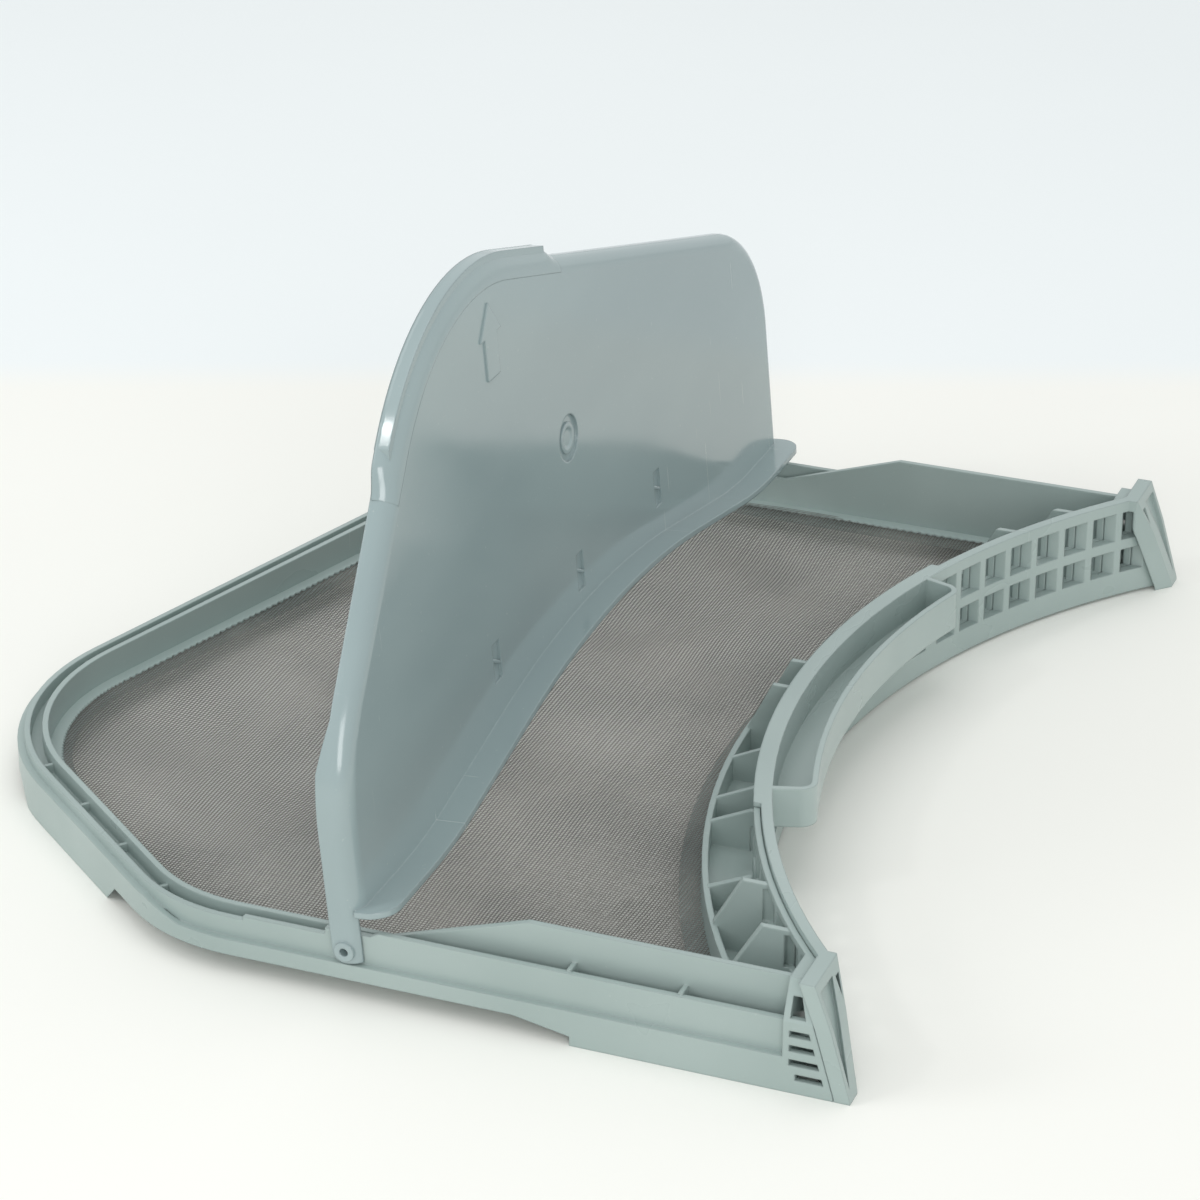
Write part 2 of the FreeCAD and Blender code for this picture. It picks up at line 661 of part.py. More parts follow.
def build_flap():
    drop = "hinge_height - fold_height - running_gap"
    outer = rounded_block("flap_outer", "0", f"-({drop})", "flap_face", "flap_round", "Part::Fillet")
    inner = rounded_block("flap_inner", "wall", f"-({drop}) - 1", "flap_face - wall",
                          "inner_bevel * (flap_round - wall)", "Part::Chamfer")
    shell = cut("flap_tray", outer, inner)
    arch = profile("arch_line", [
        ("-arch_start", "-frame_width"), ("-arch_start", "-arch_half_span"), ("-arch_apex", "0"),
        ("-arch_start", "arch_half_span"), ("-arch_start", "frame_width"),
        (REACH / 2, "frame_width"), (REACH / 2, "-frame_width"),
    ], {1: "arch_foot_round", 2: "arch_top_round", 3: "arch_foot_round"})
    ears = "frame_width / 2 - wall"
    arch_cut = common("arch_cut", extrude("arch_prism", arch, "60", "-30"),
                      box("arch_zone", -REACH, f"-({ears})", "-30", 2 * REACH, f"2 * ({ears})", "60"))
    nose_gap = across("flap_below_nose", profile("flap_foot_line", [
        ("-fold_ramp_start", f"-({drop})"),
        ("-fold_ramp_start - fold_ramp_length", "nose_fold_height + running_gap - hinge_height"),
        (-REACH / 2, "nose_fold_height + running_gap - hinge_height"), (-REACH / 2, "-60"),
        ("-fold_ramp_start", "-60"),
    ], upright=True))
    ear_corner = cut("ear_corner", box("ear_corner_block", "0", "-frame_width", "-2 * ear_reach",
                                       "2 * ear_reach", "2 * frame_width", "2 * ear_reach"),
                     cylinder("ear_round", "ear_reach", "2 * frame_width", y="-frame_width", axis="y"))
    shell = cut("flap_trimmed", shell, fuse("flap_waste", [arch_cut, nose_gap, ear_corner]))

    lip_loop = document.addObject("Part::Offset2D", "lip_loop")
    lip_loop.Source = arch
    bind(lip_loop, Value="wall")
    lip_body = cut("lip_body", extrude("lip_outer", lip_loop, "lip_height + wall", "flap_face - wall"),
                   extrude("lip_inner", arch, "lip_height + wall + 2", "flap_face - wall - 1"))
    lip_room = box("lip_zone", -REACH, "-frame_width / 2", "-30", f"{REACH}", "frame_width", "60")
    lip = common("lip", lip_body, lip_room)
    corners = []
    for side, sign in (("near", -1), ("far", 1)):
        centre = f"{sign} * (frame_width / 2 - lip_end_round)"
        low = centre if sign > 0 else "-frame_width / 2 - 1"
        block = box(f"lip_corner_block_{side}", -REACH, low, "flap_face + lip_height - lip_end_round", REACH,
                    "lip_end_round + 1", "lip_end_round + 1")
        corners.append(cut(f"lip_corner_{side}", block, cylinder(
            f"lip_corner_round_{side}", "lip_end_round", 2 * REACH, x=-REACH, y=centre,
            z="flap_face + lip_height - lip_end_round", axis="x")))
    lip = cut("lip_rounded", lip, fuse("lip_corners", corners))

    tab_bottom = "nose_fold_height + running_gap - hinge_height"
    tab = common(
        "grip_tab",
        cut("tab_ring", plan_prism("tab_outer", "-tab_proud", tab_bottom, "tab_height"),
            plan_prism("tab_inner", "wall / 2", f"{tab_bottom} - 1", "tab_height + 1")),
        box("tab_zone", -REACH, "-tab_near", "-30", f"{REACH} - tab_start", "tab_near - tab_far", "60"),
    )
    ends = []
    cores = []
    for side, sign in (("near", -1), ("far", 1)):
        face = "-frame_width / 2 - pin_ring_proud" if sign < 0 else "frame_width / 2 - wall"
        ends.append(cylinder(f"pin_ring_{side}", "pin_ring_radius", "wall + pin_ring_proud", y=face, axis="y"))
        start = "-frame_width / 2 + wall / 2" if sign < 0 else "frame_width / 2 - pin_reach"
        ends.append(cylinder(f"pin_{side}", "pin_radius", "pin_reach - wall / 2", y=start, axis="y"))
        start = ("-frame_width / 2 - pin_ring_proud - 1" if sign < 0
                 else "frame_width / 2 + pin_ring_proud - pin_core_depth")
        cores.append(cylinder(f"pin_core_{side}", "pin_core_radius", "pin_core_depth + 1", y=start, axis="y"))
    marks = [cylinder("recess", "recess_radius", "5", x="-recess_place", y="-recess_side",
                      z="flap_face - recess_depth")]
    for index in (-1, 0, 1):
        marks.append(box(f"dimple_{index}", "-dimple_place - dimple_length / 2",
                         f"{index} * dimple_pitch - recess_side - dimple_width / 2",
                         "flap_face - recess_depth", "dimple_length", "dimple_width", "5"))
    body = fuse("flap_body", [shell, lip, tab] + ends)
    return cut("flap_cover", body, fuse("flap_cuts", cores + marks))


# woven screen: one thin wall with ridges both ways and a gap in each mesh of the ridges
def build_screen():
    inset = f"{INNER_INNER} + running_gap"
    top = "ledge_height + screen_thickness"
    front = f"{SCREEN_FRONT} + running_gap"
    plate = cut("screen_plate", plan_prism("screen_prism", inset, "ledge_height", f"{top} + screen_ridge"),
                front_disc("screen_front", front))
    border = "screen_gap / 4 + 2"
    inside = cut("screen_room", plan_prism("screen_room_prism", f"{inset} + {border}", "0", "40"),
                 front_disc("screen_room_front", f"{front} + {border}"))
    document.recompute()
    fields = []
    gaps = []
    columns = range(-SCREEN_MESHES, SCREEN_MESHES)
    for across_index in columns:
        for along_index in columns:
            spot = f"{across_index + SCREEN_MESHES}_{along_index + SCREEN_MESHES}"
            x = f"{across_index + 0.5} * screen_pitch"
            y = f"{along_index + 0.5} * screen_pitch"
            field = "(screen_pitch - screen_ridge_width)"
            fields.append(box(f"field_{spot}", f"{x} - {field} / 2", f"{y} - {field} / 2", top,
                              field, field, "10"))
            reach = value("screen_gap") / 2
            centre = FreeCAD.Vector(value(x), value(y), 10)
            corners = [centre + FreeCAD.Vector(east * reach, north * reach, 0)
                       for east in (-1, 1) for north in (-1, 1)]
            if all(inside.Shape.isInside(corner, 0.001, True) for corner in corners):
                gaps.append(box(f"gap_{spot}", f"{x} - screen_gap / 2", f"{y} - screen_gap / 2", "0",
                                "screen_gap", "screen_gap", "40"))
    print("gaps in the screen:", len(gaps))
    ridged = cut("screen_ridged", plate, bundle("screen_fields", fields))
    return cut("lint_screen", ridged, bundle("screen_gaps", gaps))


nodes = [build_frame(), build_grille(), build_screen(), build_flap()]
for node in nodes:
    node.Label = node.Name
    bind(node, Placement_Base_x="axis_place")
flap = nodes[-1]
flap.Placement.Rotation = FreeCAD.Rotation(FreeCAD.Vector(0, 1, 0), value("open_angle"))
bind(flap, Placement_Base_x="axis_place", Placement_Base_z="hinge_height")
flap.setExpression("Placement.Rotation.Angle", link("open_angle"))
document.recompute()

for item in document.Objects:
    if "Invalid" in item.State or "Error" in item.State:
        raise RuntimeError(f"{item.Name} failed: {item.State}")
os.makedirs("parts", exist_ok=True)
for node in nodes:
    shape = node.Shape
    if shape.isNull() or not shape.isValid():
        raise RuntimeError(f"{node.Label} has no valid shape")
    box_of = shape.BoundBox
    print(node.Label, "solids", len(shape.Solids), "volume", round(shape.Volume), "x", round(box_of.XMin, 2),
          round(box_of.XMax, 2), "y", round(box_of.YMin, 2), round(box_of.YMax, 2), "z",
          round(box_of.ZMin, 2), round(box_of.ZMax, 2))
for node in nodes:
    node.Shape.exportStep(f"parts/{node.Label}.step")
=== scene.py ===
import math
import random

import bpy
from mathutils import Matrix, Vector


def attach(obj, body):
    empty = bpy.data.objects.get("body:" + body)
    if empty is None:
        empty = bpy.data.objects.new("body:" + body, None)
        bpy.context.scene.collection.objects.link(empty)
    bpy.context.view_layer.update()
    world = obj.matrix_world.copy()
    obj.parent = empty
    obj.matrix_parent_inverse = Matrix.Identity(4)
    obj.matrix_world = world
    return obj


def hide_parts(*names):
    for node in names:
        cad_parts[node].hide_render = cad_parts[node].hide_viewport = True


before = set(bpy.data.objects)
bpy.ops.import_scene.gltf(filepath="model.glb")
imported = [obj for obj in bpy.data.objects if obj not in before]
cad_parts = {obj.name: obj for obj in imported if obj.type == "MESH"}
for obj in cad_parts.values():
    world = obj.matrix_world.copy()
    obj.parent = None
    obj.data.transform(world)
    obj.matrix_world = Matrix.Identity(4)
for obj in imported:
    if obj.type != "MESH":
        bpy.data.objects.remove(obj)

print("frame loaded:", ", ".join(sorted(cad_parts)))
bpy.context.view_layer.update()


class Socket:
    # one output of a node, with ordinary arithmetic on it
    def __init__(self, finish, out):
        self.finish = finish
        self.out = out

    def __add__(self, other):
        return self.finish.maths("ADD", self, other)

    def __radd__(self, other):
        return self.finish.maths("ADD", other, self)

    def __sub__(self, other):
        return self.finish.maths("SUBTRACT", self, other)

    def __rsub__(self, other):
        return self.finish.maths("SUBTRACT", other, self)

    def __mul__(self, other):
        return self.finish.maths("MULTIPLY", self, other)

    def __rmul__(self, other):
        return self.finish.maths("MULTIPLY", other, self)


class Finish:
    # the nodes of a material, or of the world round the object
    def __init__(self, owner):
        owner.use_nodes = True
        self.owner = owner
        self.tree = owner.node_tree
        self.tree.nodes.clear()

    def node(self, kind, settings=None, inputs=None, out=0):
        made = self.tree.nodes.new(kind)
        for key, value in (settings or {}).items():
            setattr(made, key, value)
        for key, value in (inputs or {}).items():
            if isinstance(value, Socket):
                self.tree.links.new(value.out, made.inputs[key])
            else:
                made.inputs[key].default_value = value
        return Socket(self, made.outputs[out]) if len(made.outputs) else None

    def maths(self, operation, first, second):
        return self.node("ShaderNodeMath", {"operation": operation}, {0: first, 1: second})

    def cloud(self, mark):
        # noise of a mark's scale and detail, stretched and turned as the mark says
        coords = self.node("ShaderNodeTexCoord", out="Object")
        place = self.node("ShaderNodeMapping", None, {
            "Vector": coords,
            "Scale": mark.get("stretch", (1.0, 1.0, 1.0)),
            "Rotation": mark.get("turn", (0.0, 0.0, 0.0))})
        return self.node("ShaderNodeTexNoise", None, {
            "Vector": place, "Scale": mark["scale"], "Detail": mark["detail"]})

    def ramp(self, value, low, high):
        # 0 below low, 1 above high
        return self.node("ShaderNodeMapRange", {"interpolation_type": "SMOOTHSTEP"}, {
            "Value": value, "From Min": low, "From Max": high})

    def patches(self, mark):
        return self.ramp(self.cloud(mark), *mark["ramp"])

    def mix(self, factor, first, second):
        return self.node("ShaderNodeMix", {"data_type": "RGBA"}, {
            "Factor": factor, 6: first, 7: second}, out=2)

    def finished(self, shader, kind="ShaderNodeOutputMaterial"):
        self.node(kind, None, {"Surface": shader})
        return self.owner


def linear(red, green, blue):
    # screen colour 0..255 to scene colour, by the standard curve of screens
    def one(c):
        c = c / 255
        return c / 12.92 if c <= 0.04045 else ((c + 0.055) / 1.055) ** 2.4
    return (one(red), one(green), one(blue), 1.0)


def coat(piece, material):
    piece.data.materials.clear()
    piece.data.materials.append(material)


# Moulded plastic
even = (1.0, 1.0, 1.0)
plasticLook = {
    "frame": {"pale": (162, 177, 174), "deep": (151, 167, 164), "rough": 0.27, "ior": 1.5, "drawn": even},
    "grille": {"pale": (165, 180, 177), "deep": (154, 170, 167), "rough": 0.25, "ior": 1.5, "drawn": even},
    "rim": {"pale": (172, 187, 184), "deep": (160, 176, 173), "rough": 0.32, "ior": 1.5, "drawn": even},
    "flap": {"pale": (151, 168, 169), "deep": (141, 158, 160), "rough": 0.08, "ior": 1.68,
             "drawn": (1.0, 0.4, 1.0)},
    "dust": (204, 210, 205),
    "edgeRound": 0.0006,
    "edgeSamples": 6,
    "bumpTall": 0.0002,
    "bumpStrength": 0.12,
}
plasticMarks = {
    "drift": {"scale": 14.0, "detail": 3.0, "ramp": (0.3, 0.7)},
    "speck": {"scale": 900.0, "detail": 2.0, "ramp": (0.7, 0.78), "pale": 0.14},
    "smear": {"scale": 38.0, "detail": 4.0, "ramp": (0.3, 0.75), "rough": 0.12, "bump": 0.5,
              "stretch": (1.0, 0.35, 1.0), "turn": (0.3, 0.2, 0.5)},
    "hair": {"scale": 60.0, "detail": 1.0, "ramp": (0.735, 0.75), "pale": 0.3, "rough": 0.15, "bump": 0.6,
             "stretch": (0.6, 22.0, 0.6), "turn": (0.4, 0.9, 0.3)},
    "worn": {"scale": 9.0, "detail": 2.0, "ramp": (0.5, 0.62)},
    "grain": {"scale": 2600.0, "detail": 2.0, "bump": 0.35},
}


def mouldedPlastic(part):
    f = Finish(bpy.data.materials.new(part + "Grey"))
    look = plasticLook[part]
    marks = plasticMarks
    dust = linear(*plasticLook["dust"])
    drift = f.patches({**marks["drift"], "stretch": look["drawn"]})
    speck = f.patches(marks["speck"])
    smear = f.cloud(marks["smear"])
    hairline = f.patches(marks["hair"]) * f.patches(marks["worn"])
    shade = f.mix(drift, linear(*look["deep"]), linear(*look["pale"]))
    dusty = f.mix(speck * marks["speck"]["pale"], shade, dust)
    marked = f.mix(hairline * marks["hair"]["pale"], dusty, dust)
    relief = (f.cloud(marks["grain"]) * marks["grain"]["bump"] + smear * marks["smear"]["bump"]
              - hairline * marks["hair"]["bump"])
    dull = f.ramp(smear, *marks["smear"]["ramp"]) * marks["smear"]["rough"]
    rounded = f.node("ShaderNodeBevel", {"samples": plasticLook["edgeSamples"]}, {
        "Radius": plasticLook["edgeRound"]})
    bump = f.node("ShaderNodeBump", None, {
        "Strength": plasticLook["bumpStrength"], "Distance": plasticLook["bumpTall"],
        "Height": relief, "Normal": rounded})
    shader = f.node("ShaderNodeBsdfPrincipled", None, {
        "Base Color": marked,
        "Roughness": dull + look["rough"] + hairline * marks["hair"]["rough"],
        "IOR": look["ior"],
        "Normal": bump})
    return f.finished(shader)


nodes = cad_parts
coat(nodes["filter_frame"], mouldedPlastic("frame"))
coat(nodes["front_grille"], mouldedPlastic("grille"))
flapPlastic = mouldedPlastic("flap")
coat(nodes["flap_cover"], flapPlastic)
print("plastic mixed and coated")

# Meshes
mergeWithin = 0.00002


def skinned(name, runs):
    # one piece of closed skins: a run is a list of rings, with as many points in each
    verts, faces = [], []
    for rings in runs:
        first = len(verts)
        wide = len(rings[0])
        verts += [tuple(point) for ring in rings for point in ring]
        for b in range(first + wide, len(verts), wide):
            a = b - wide
            faces += [(a + e, a + (e + 1) % wide, b + (e + 1) % wide, b + e) for e in range(wide)]
        faces.append(tuple(range(first, first + wide))[::-1])
        faces.append(tuple(range(len(verts) - wide, len(verts))))
    mesh = bpy.data.meshes.new(name)
    mesh.from_pydata(verts, [], faces)
    mesh.update()
    piece = bpy.data.objects.new(name, mesh)
    bpy.context.scene.collection.objects.link(piece)
    return piece


def faceOutwards(piece, merge=False):
    bpy.ops.object.select_all(action="DESELECT")
    bpy.context.view_layer.objects.active = piece
    piece.select_set(True)
    bpy.ops.object.mode_set(mode="EDIT")
    bpy.ops.mesh.select_all(action="SELECT")
    if merge:
        bpy.ops.mesh.remove_doubles(threshold=mergeWithin)
    bpy.ops.mesh.normals_make_consistent(inside=False)
    bpy.ops.object.mode_set(mode="OBJECT")


def tidyMesh(piece, smooth=30):
    # closes doubles, turns faces outwards and smooths edges that turn less than smooth degrees
    faceOutwards(piece, merge=True)
    bpy.ops.object.shade_smooth_by_angle(angle=math.radians(smooth))


def softEdge(piece, look):
    bevel = piece.modifiers.new("edge", "BEVEL")
    bevel.width = look["edge"]
    bevel.segments = look["edgeSteps"]
    bpy.ops.object.modifier_apply(modifier="edge")


# The frame's outline in plan, about the hinge: two rails, three rounded corners and a hollow front
outlineForm = {
    "hingeX": 0.00357,
    "railEnd": 0.148,
    "railSide": 0.15,
    "corners": ((-0.0493, -0.15), (-0.1451, -0.0731), (-0.0771, 0.15)),
    "fillets": (0.05, 0.066, 0.038),
    "frontX": 0.2782,
    "frontRadius": 0.2277,
    "perArc": 40,
}


def cornerArcs():
    # for each corner the centre of its arc, the two points where it meets the sides, and its radius
    points = [(outlineForm["railEnd"], -outlineForm["railSide"]), *outlineForm["corners"],
              (outlineForm["railEnd"], outlineForm["railSide"])]
    arcs = []
    for index, radius in enumerate(outlineForm["fillets"], 1):
        before, here, after = (Vector(points[index + k]) for k in (-1, 0, 1))
        back = (before - here).normalized()
        on = (after - here).normalized()
        half = back.angle(on) / 2
        run = radius / math.tan(half)
        centre = here + (back + on).normalized() * (radius / math.sin(half))
        arcs.append((centre, here + back * run, here + on * run, radius))
    return arcs


def outlinePoints(inset, perArc):
    # the outline moved inwards by inset, open at the front, from the near rail round to the far one
    side = outlineForm["railSide"] - inset
    points = [Vector((outlineForm["railEnd"], -side))]
    for centre, first, last, radius in cornerArcs():
        a = math.atan2(first.y - centre.y, first.x - centre.x)
        b = math.atan2(last.y - centre.y, last.x - centre.x)
        turn = (b - a + math.pi) % (2 * math.pi) - math.pi
        for k in range(perArc + 1):
            angle = a + turn * k / perArc
            points.append(centre + Vector((math.cos(angle), math.sin(angle))) * (radius - inset))
    points.append(Vector((outlineForm["railEnd"], side)))
    return points


def finely(points, step):
    # the same run of points, no further apart than step
    run = [points[0]]
    for here, after in zip(points, points[1:]):
        count = max(1, math.ceil((after - here).length / step))
        run += [here.lerp(after, k / count) for k in range(1, count + 1)]
    return run


def outlineRun(inset, step, kept):
    # the points of the outline that kept accepts, from the far end to the near one
    line = [p for p in finely(outlinePoints(inset, outlineForm["perArc"]), step) if kept(p)]
    return line[::-1]


def outwardOf(run, k):
    # off the object, square to a run that goes from the far end to the near one
    along = (run[min(k + 1, len(run) - 1)] - run[max(k - 1, 0)]).normalized()
    return Vector((along.y, -along.x))


# Woven screen: two sets of threads inside the moulded wall
weave = {
    "inset": 0.0104,             # the threads end under the rim's edge
    "perArc": 24,
    "height": 0.0068,
    "pitch": 0.00092,
    "threadWide": 0.00032,
    "threadTall": 0.00009,
    "step": 0.009,               # between the rings of a thread
    "spans": ((-0.13, 0.12), (-0.145, 0.145)),
    "shortest": 0.002,
    "seed": 7,
    "jitter": 0.08,              # share of the pitch
    "heldSteps": 3,              # steps from a thread's end to its full waves
    "wander": 0.0007,            # sideways
    "billow": 0.0011,            # up and down
}

# Each wave has its share, its radians a metre along x and y, the bend of its crests, the bend's
# radians a metre along x and y, and where the bend starts
clothWaves = {
    "side": ((1.0, 61, 0, 1.3, 0, 37, 0.0), (0.6, 29, 83, 0.0, 0, 0, 0.0)),
    "up": ((0.6, -71, 52, 1.6, 43, 0, 0.0), (0.4, 34, 97, 0.0, 0, 0, 0.0)),
    "pucker": (0.5, 140, 0, 2.2, 0, 61, 0.7),
    "puckerY": 0.06,
    "puckerWide": 0.07,
}

threadLook = {
    "pale": (124, 121, 116),
    "deep": (92, 90, 86),
    "dust": (168, 166, 160),
    "rough": 0.42,
    "wornRough": 0.15,
    "ior": 1.5,
    "bumpTall": 0.0001,
    "bumpStrength": 0.2,
}
threadMarks = {
    "worn": {"scale": 30.0, "detail": 3.0, "ramp": (0.35, 0.7)},
    "lint": {"scale": 700.0, "detail": 2.0, "ramp": (0.62, 0.7), "pale": 0.35},
    "grain": {"scale": 3000.0, "detail": 1.0},
}


def crossings(outline, axis, at):
    # the stretches inside the outline and behind the hollow front of a line where axis is at
    other = 1 - axis
    hits = []
    for p, q in zip(outline, outline[1:] + outline[:1]):
        if (p[axis] - at) * (q[axis] - at) < 0:
            share = (at - p[axis]) / (q[axis] - p[axis])
            hits.append(p[other] + (q[other] - p[other]) * share)
    if len(hits) < 2:
        return []
    low, high = min(hits), max(hits)
    centre = (outlineForm["frontX"], 0.0)
    reach = outlineForm["frontRadius"] ** 2 - (at - centre[axis]) ** 2
    if reach <= 0:
        return [(low, high)]
    half = math.sqrt(reach)
    kept = [(low, min(high, centre[other] - half)), (max(low, centre[other] + half), high)]
    return [span for span in kept if span[1] - span[0] > weave["shortest"]]


def wave(x, y, share, perX, perY, bend, bendX, bendY, start):
    return share * math.sin(perX * x + perY * y + bend * math.sin(bendX * x + bendY * y + start))


def ripple(x, y):
    # the cloth's slow waves sideways and up
    side = sum(wave(x, y, *each) for each in clothWaves["side"])
    up = sum(wave(x, y, *each) for each in clothWaves["up"])
    away = (y - clothWaves["puckerY"]) / clothWaves["puckerWide"]
    return side, up + wave(x, y, *clothWaves["pucker"]) * math.exp(-away ** 2)


def threadRings(axis, at, start, end):
    # rings of four points along one thread, which waves more away from its ends
    wide = weave["threadWide"] / 2
    tall = weave["threadTall"] / 2
    over = tall if axis == 0 else -tall
    side = Vector((1, 0, 0)) if axis == 0 else Vector((0, 1, 0))
    up = Vector((0, 0, 1))
    count = max(2, round((end - start) / weave["step"]))
    rings = []
    for k in range(count + 1):
        along = start + (end - start) * k / count
        place = [at, along] if axis == 0 else [along, at]
        held = min(1.0, min(k, count - k) / weave["heldSteps"])
        sway, rise = ripple(*place)
        place[axis] += weave["wander"] * held * sway
        height = weave["height"] + over + weave["billow"] * held * rise
        centre = Vector((place[0] + outlineForm["hingeX"], place[1], height))
        rings.append((centre - side * wide, centre - up * tall, centre + side * wide, centre + up * tall))
    return rings


def screenCloth():
    # every thread of both sets, and the area that they cover
    outline = outlinePoints(weave["inset"], weave["perArc"])
    chance = random.Random(weave["seed"])
    threads = []
    area = 0.0
    for axis, (low, high) in enumerate(weave["spans"]):
        at = low
        while at < high:
            jitter = chance.uniform(-weave["jitter"], weave["jitter"]) * weave["pitch"]
            for start, end in crossings(outline, axis, at):
                if axis == 0:
                    area += (end - start) * weave["pitch"]
                threads.append(threadRings(axis, at + jitter, start, end))
            at += weave["pitch"]
    print("screen threads:", len(threads), "over a cloth area of", round(area, 4))
    return skinned("lintWeave", threads), area


def threadFinish():
    f = Finish(bpy.data.materials.new("darkThread"))
    worn = f.patches(threadMarks["worn"])
    colour = f.mix(worn, linear(*threadLook["deep"]), linear(*threadLook["pale"]))
    lint = f.patches(threadMarks["lint"]) * threadMarks["lint"]["pale"]
    bump = f.node("ShaderNodeBump", None, {
        "Strength": threadLook["bumpStrength"], "Distance": threadLook["bumpTall"],
        "Height": f.cloud(threadMarks["grain"])})
    shader = f.node("ShaderNodeBsdfPrincipled", None, {
        "Base Color": f.mix(lint, colour, linear(*threadLook["dust"])),
        "Roughness": threadLook["rough"] + worn * threadLook["wornRough"],
        "IOR": threadLook["ior"],
        "Normal": bump})
    return f.finished(shader)


lintWeave, clothArea = screenCloth()
faceOutwards(lintWeave)
coat(lintWeave, threadFinish())
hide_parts("lint_screen")
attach(lintWeave, "frame_body")
print("screen woven")

# Moulded rim that holds the cloth's edge, with the small teeth of its threads
clothRim = {
    "outer": 0.0081,             # both in from the outline
    "inner": 0.0112,
    "tooth": 0.0007,
    "toothStep": 0.0012,
    "top": 0.0075,
    "slope": 0.0002,
    "foot": 0.0066,
    "intoFront": 0.0005,         # how far its ends run into the front wall
    "smooth": 20,
}


def rimBand():
    # follows the outline, cut off at the hollow front
    centre = Vector((outlineForm["frontX"], 0.0))
    nearest = outlineForm["frontRadius"] - clothRim["intoFront"]
    line = outlineRun(clothRim["outer"], clothRim["toothStep"], lambda p: (p - centre).length > nearest)
    foot, top = clothRim["foot"], clothRim["top"]
    hingeX = outlineForm["hingeX"]
    rings = []
    for k, here in enumerate(line):
        width = clothRim["inner"] - clothRim["outer"] + clothRim["tooth"] * (k % 2)
        inner = here - outwardOf(line, k) * width
        rings.append((
            (here.x + hingeX, here.y, foot),
            (here.x + hingeX, here.y, top),
            (inner.x + hingeX, inner.y, top - clothRim["slope"]),
            (inner.x + hingeX, inner.y, foot)))
    return skinned("screenRim", [rings])


screenRim = rimBand()
tidyMesh(screenRim, clothRim["smooth"])
coat(screenRim, mouldedPlastic("rim"))
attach(screenRim, "frame_body")
print("screen rim moulded")

# Small forms on the flap, drawn closed about the hinge and laid on the raised flap
flapForm = {
    "hingeZ": 0.0131,
    "open": 85.0,
    "face": 0.0052,
}


def raised(x, y, z):
    turn = math.radians(flapForm["open"])
    return Vector((x * math.cos(turn) + z * math.sin(turn) + outlineForm["hingeX"], y,
                   -x * math.sin(turn) + z * math.cos(turn) + flapForm["hingeZ"]))


def layOnFlap(piece):
    for vertex in piece.data.vertices:
        vertex.co = raised(*vertex.co)
    coat(piece, flapPlastic)
    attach(piece, "flap_body")


# Raised arrow: rise from the hinge and place along it
arrow = {
    "tip": (0.1272, -0.0456),
    "head": (0.1185, -0.0520, -0.0392),
    "shaft": (0.1074, -0.0494, -0.0419),
    "proud": 0.0005,
    "sunk": 0.0003,
    "edge": 0.00012,
    "edgeSteps": 2,
}


def arrowPlate():
    # a flat round with seven corners, moved into the arrow's outline, then raised
    headRise, headLeft, headRight = arrow["head"]
    footRise, shaftLeft, shaftRight = arrow["shaft"]
    corners = [arrow["tip"], (headRise, headRight), (headRise, shaftRight), (footRise, shaftRight),
               (footRise, shaftLeft), (headRise, shaftLeft), (headRise, headLeft)]
    bpy.ops.object.select_all(action="DESELECT")
    bpy.ops.mesh.primitive_circle_add(vertices=len(corners), fill_type="NGON")
    plate = bpy.context.object
    plate.name = "arrowMark"
    for vertex, (rise, side) in zip(plate.data.vertices, corners):
        vertex.co = (-rise, side, flapForm["face"] - arrow["sunk"])
    bpy.ops.object.mode_set(mode="EDIT")
    bpy.ops.mesh.select_all(action="SELECT")
    bpy.ops.mesh.extrude_region_move(
        TRANSFORM_OT_translate={"value": (0, 0, arrow["sunk"] + arrow["proud"])})
    bpy.ops.object.mode_set(mode="OBJECT")
    tidyMesh(plate)
    softEdge(plate, arrow)
    layOnFlap(plate)


arrowPlate()

# Pin head on the floor of the round recess
pinHead = {
    "place": (-0.0736, -0.003),
    "radius": 0.0043,
    "sides": 40,
    "proud": 0.0006,
    "sunk": 0.0004,
    "recess": 0.0008,
    "ring": 0.0014,
    "dishWall": 0.0005,
    "dishDeep": 0.0004,
    "edge": 0.00015,
    "edgeSteps": 2,
    "upright": 0.9,              # a face that points up this much is the top
}


def pinHeadDisc():
    # a flat disc with a shallow dish in it
    bpy.ops.object.select_all(action="DESELECT")
    floorRise = flapForm["face"] - pinHead["recess"]
    bpy.ops.mesh.primitive_cylinder_add(
        vertices=pinHead["sides"], radius=pinHead["radius"], depth=pinHead["proud"] + pinHead["sunk"],
        location=(*pinHead["place"], floorRise + (pinHead["proud"] - pinHead["sunk"]) / 2))
    disc = bpy.context.object
    disc.name = "pinHead"
    bpy.ops.object.transform_apply(location=True, rotation=True, scale=True)
    bpy.ops.object.mode_set(mode="EDIT")
    bpy.ops.mesh.select_all(action="DESELECT")
    bpy.ops.object.mode_set(mode="OBJECT")
    for face in disc.data.polygons:
        face.select = face.normal.z > pinHead["upright"]
    bpy.ops.object.mode_set(mode="EDIT")
    bpy.ops.mesh.select_mode(type="FACE")
    bpy.ops.mesh.inset(thickness=pinHead["ring"])
    bpy.ops.mesh.inset(thickness=pinHead["dishWall"])
    bpy.ops.transform.translate(value=(0, 0, -pinHead["dishDeep"]))
    bpy.ops.object.mode_set(mode="OBJECT")
    tidyMesh(disc)
    softEdge(disc, pinHead)
    layOnFlap(disc)


pinHeadDisc()

# A slanted rib across each of the three slots, flush with the flap's face
slotRib = {
    "rise": 0.0355,
    "side": -0.003,
    "pitch": 0.057,
    "length": 0.0046,
    "width": 0.0011,
    "slant": 0.5,
    "tall": 0.0008,
    "edge": 0.0003,
    "edgeSteps": 3,
}


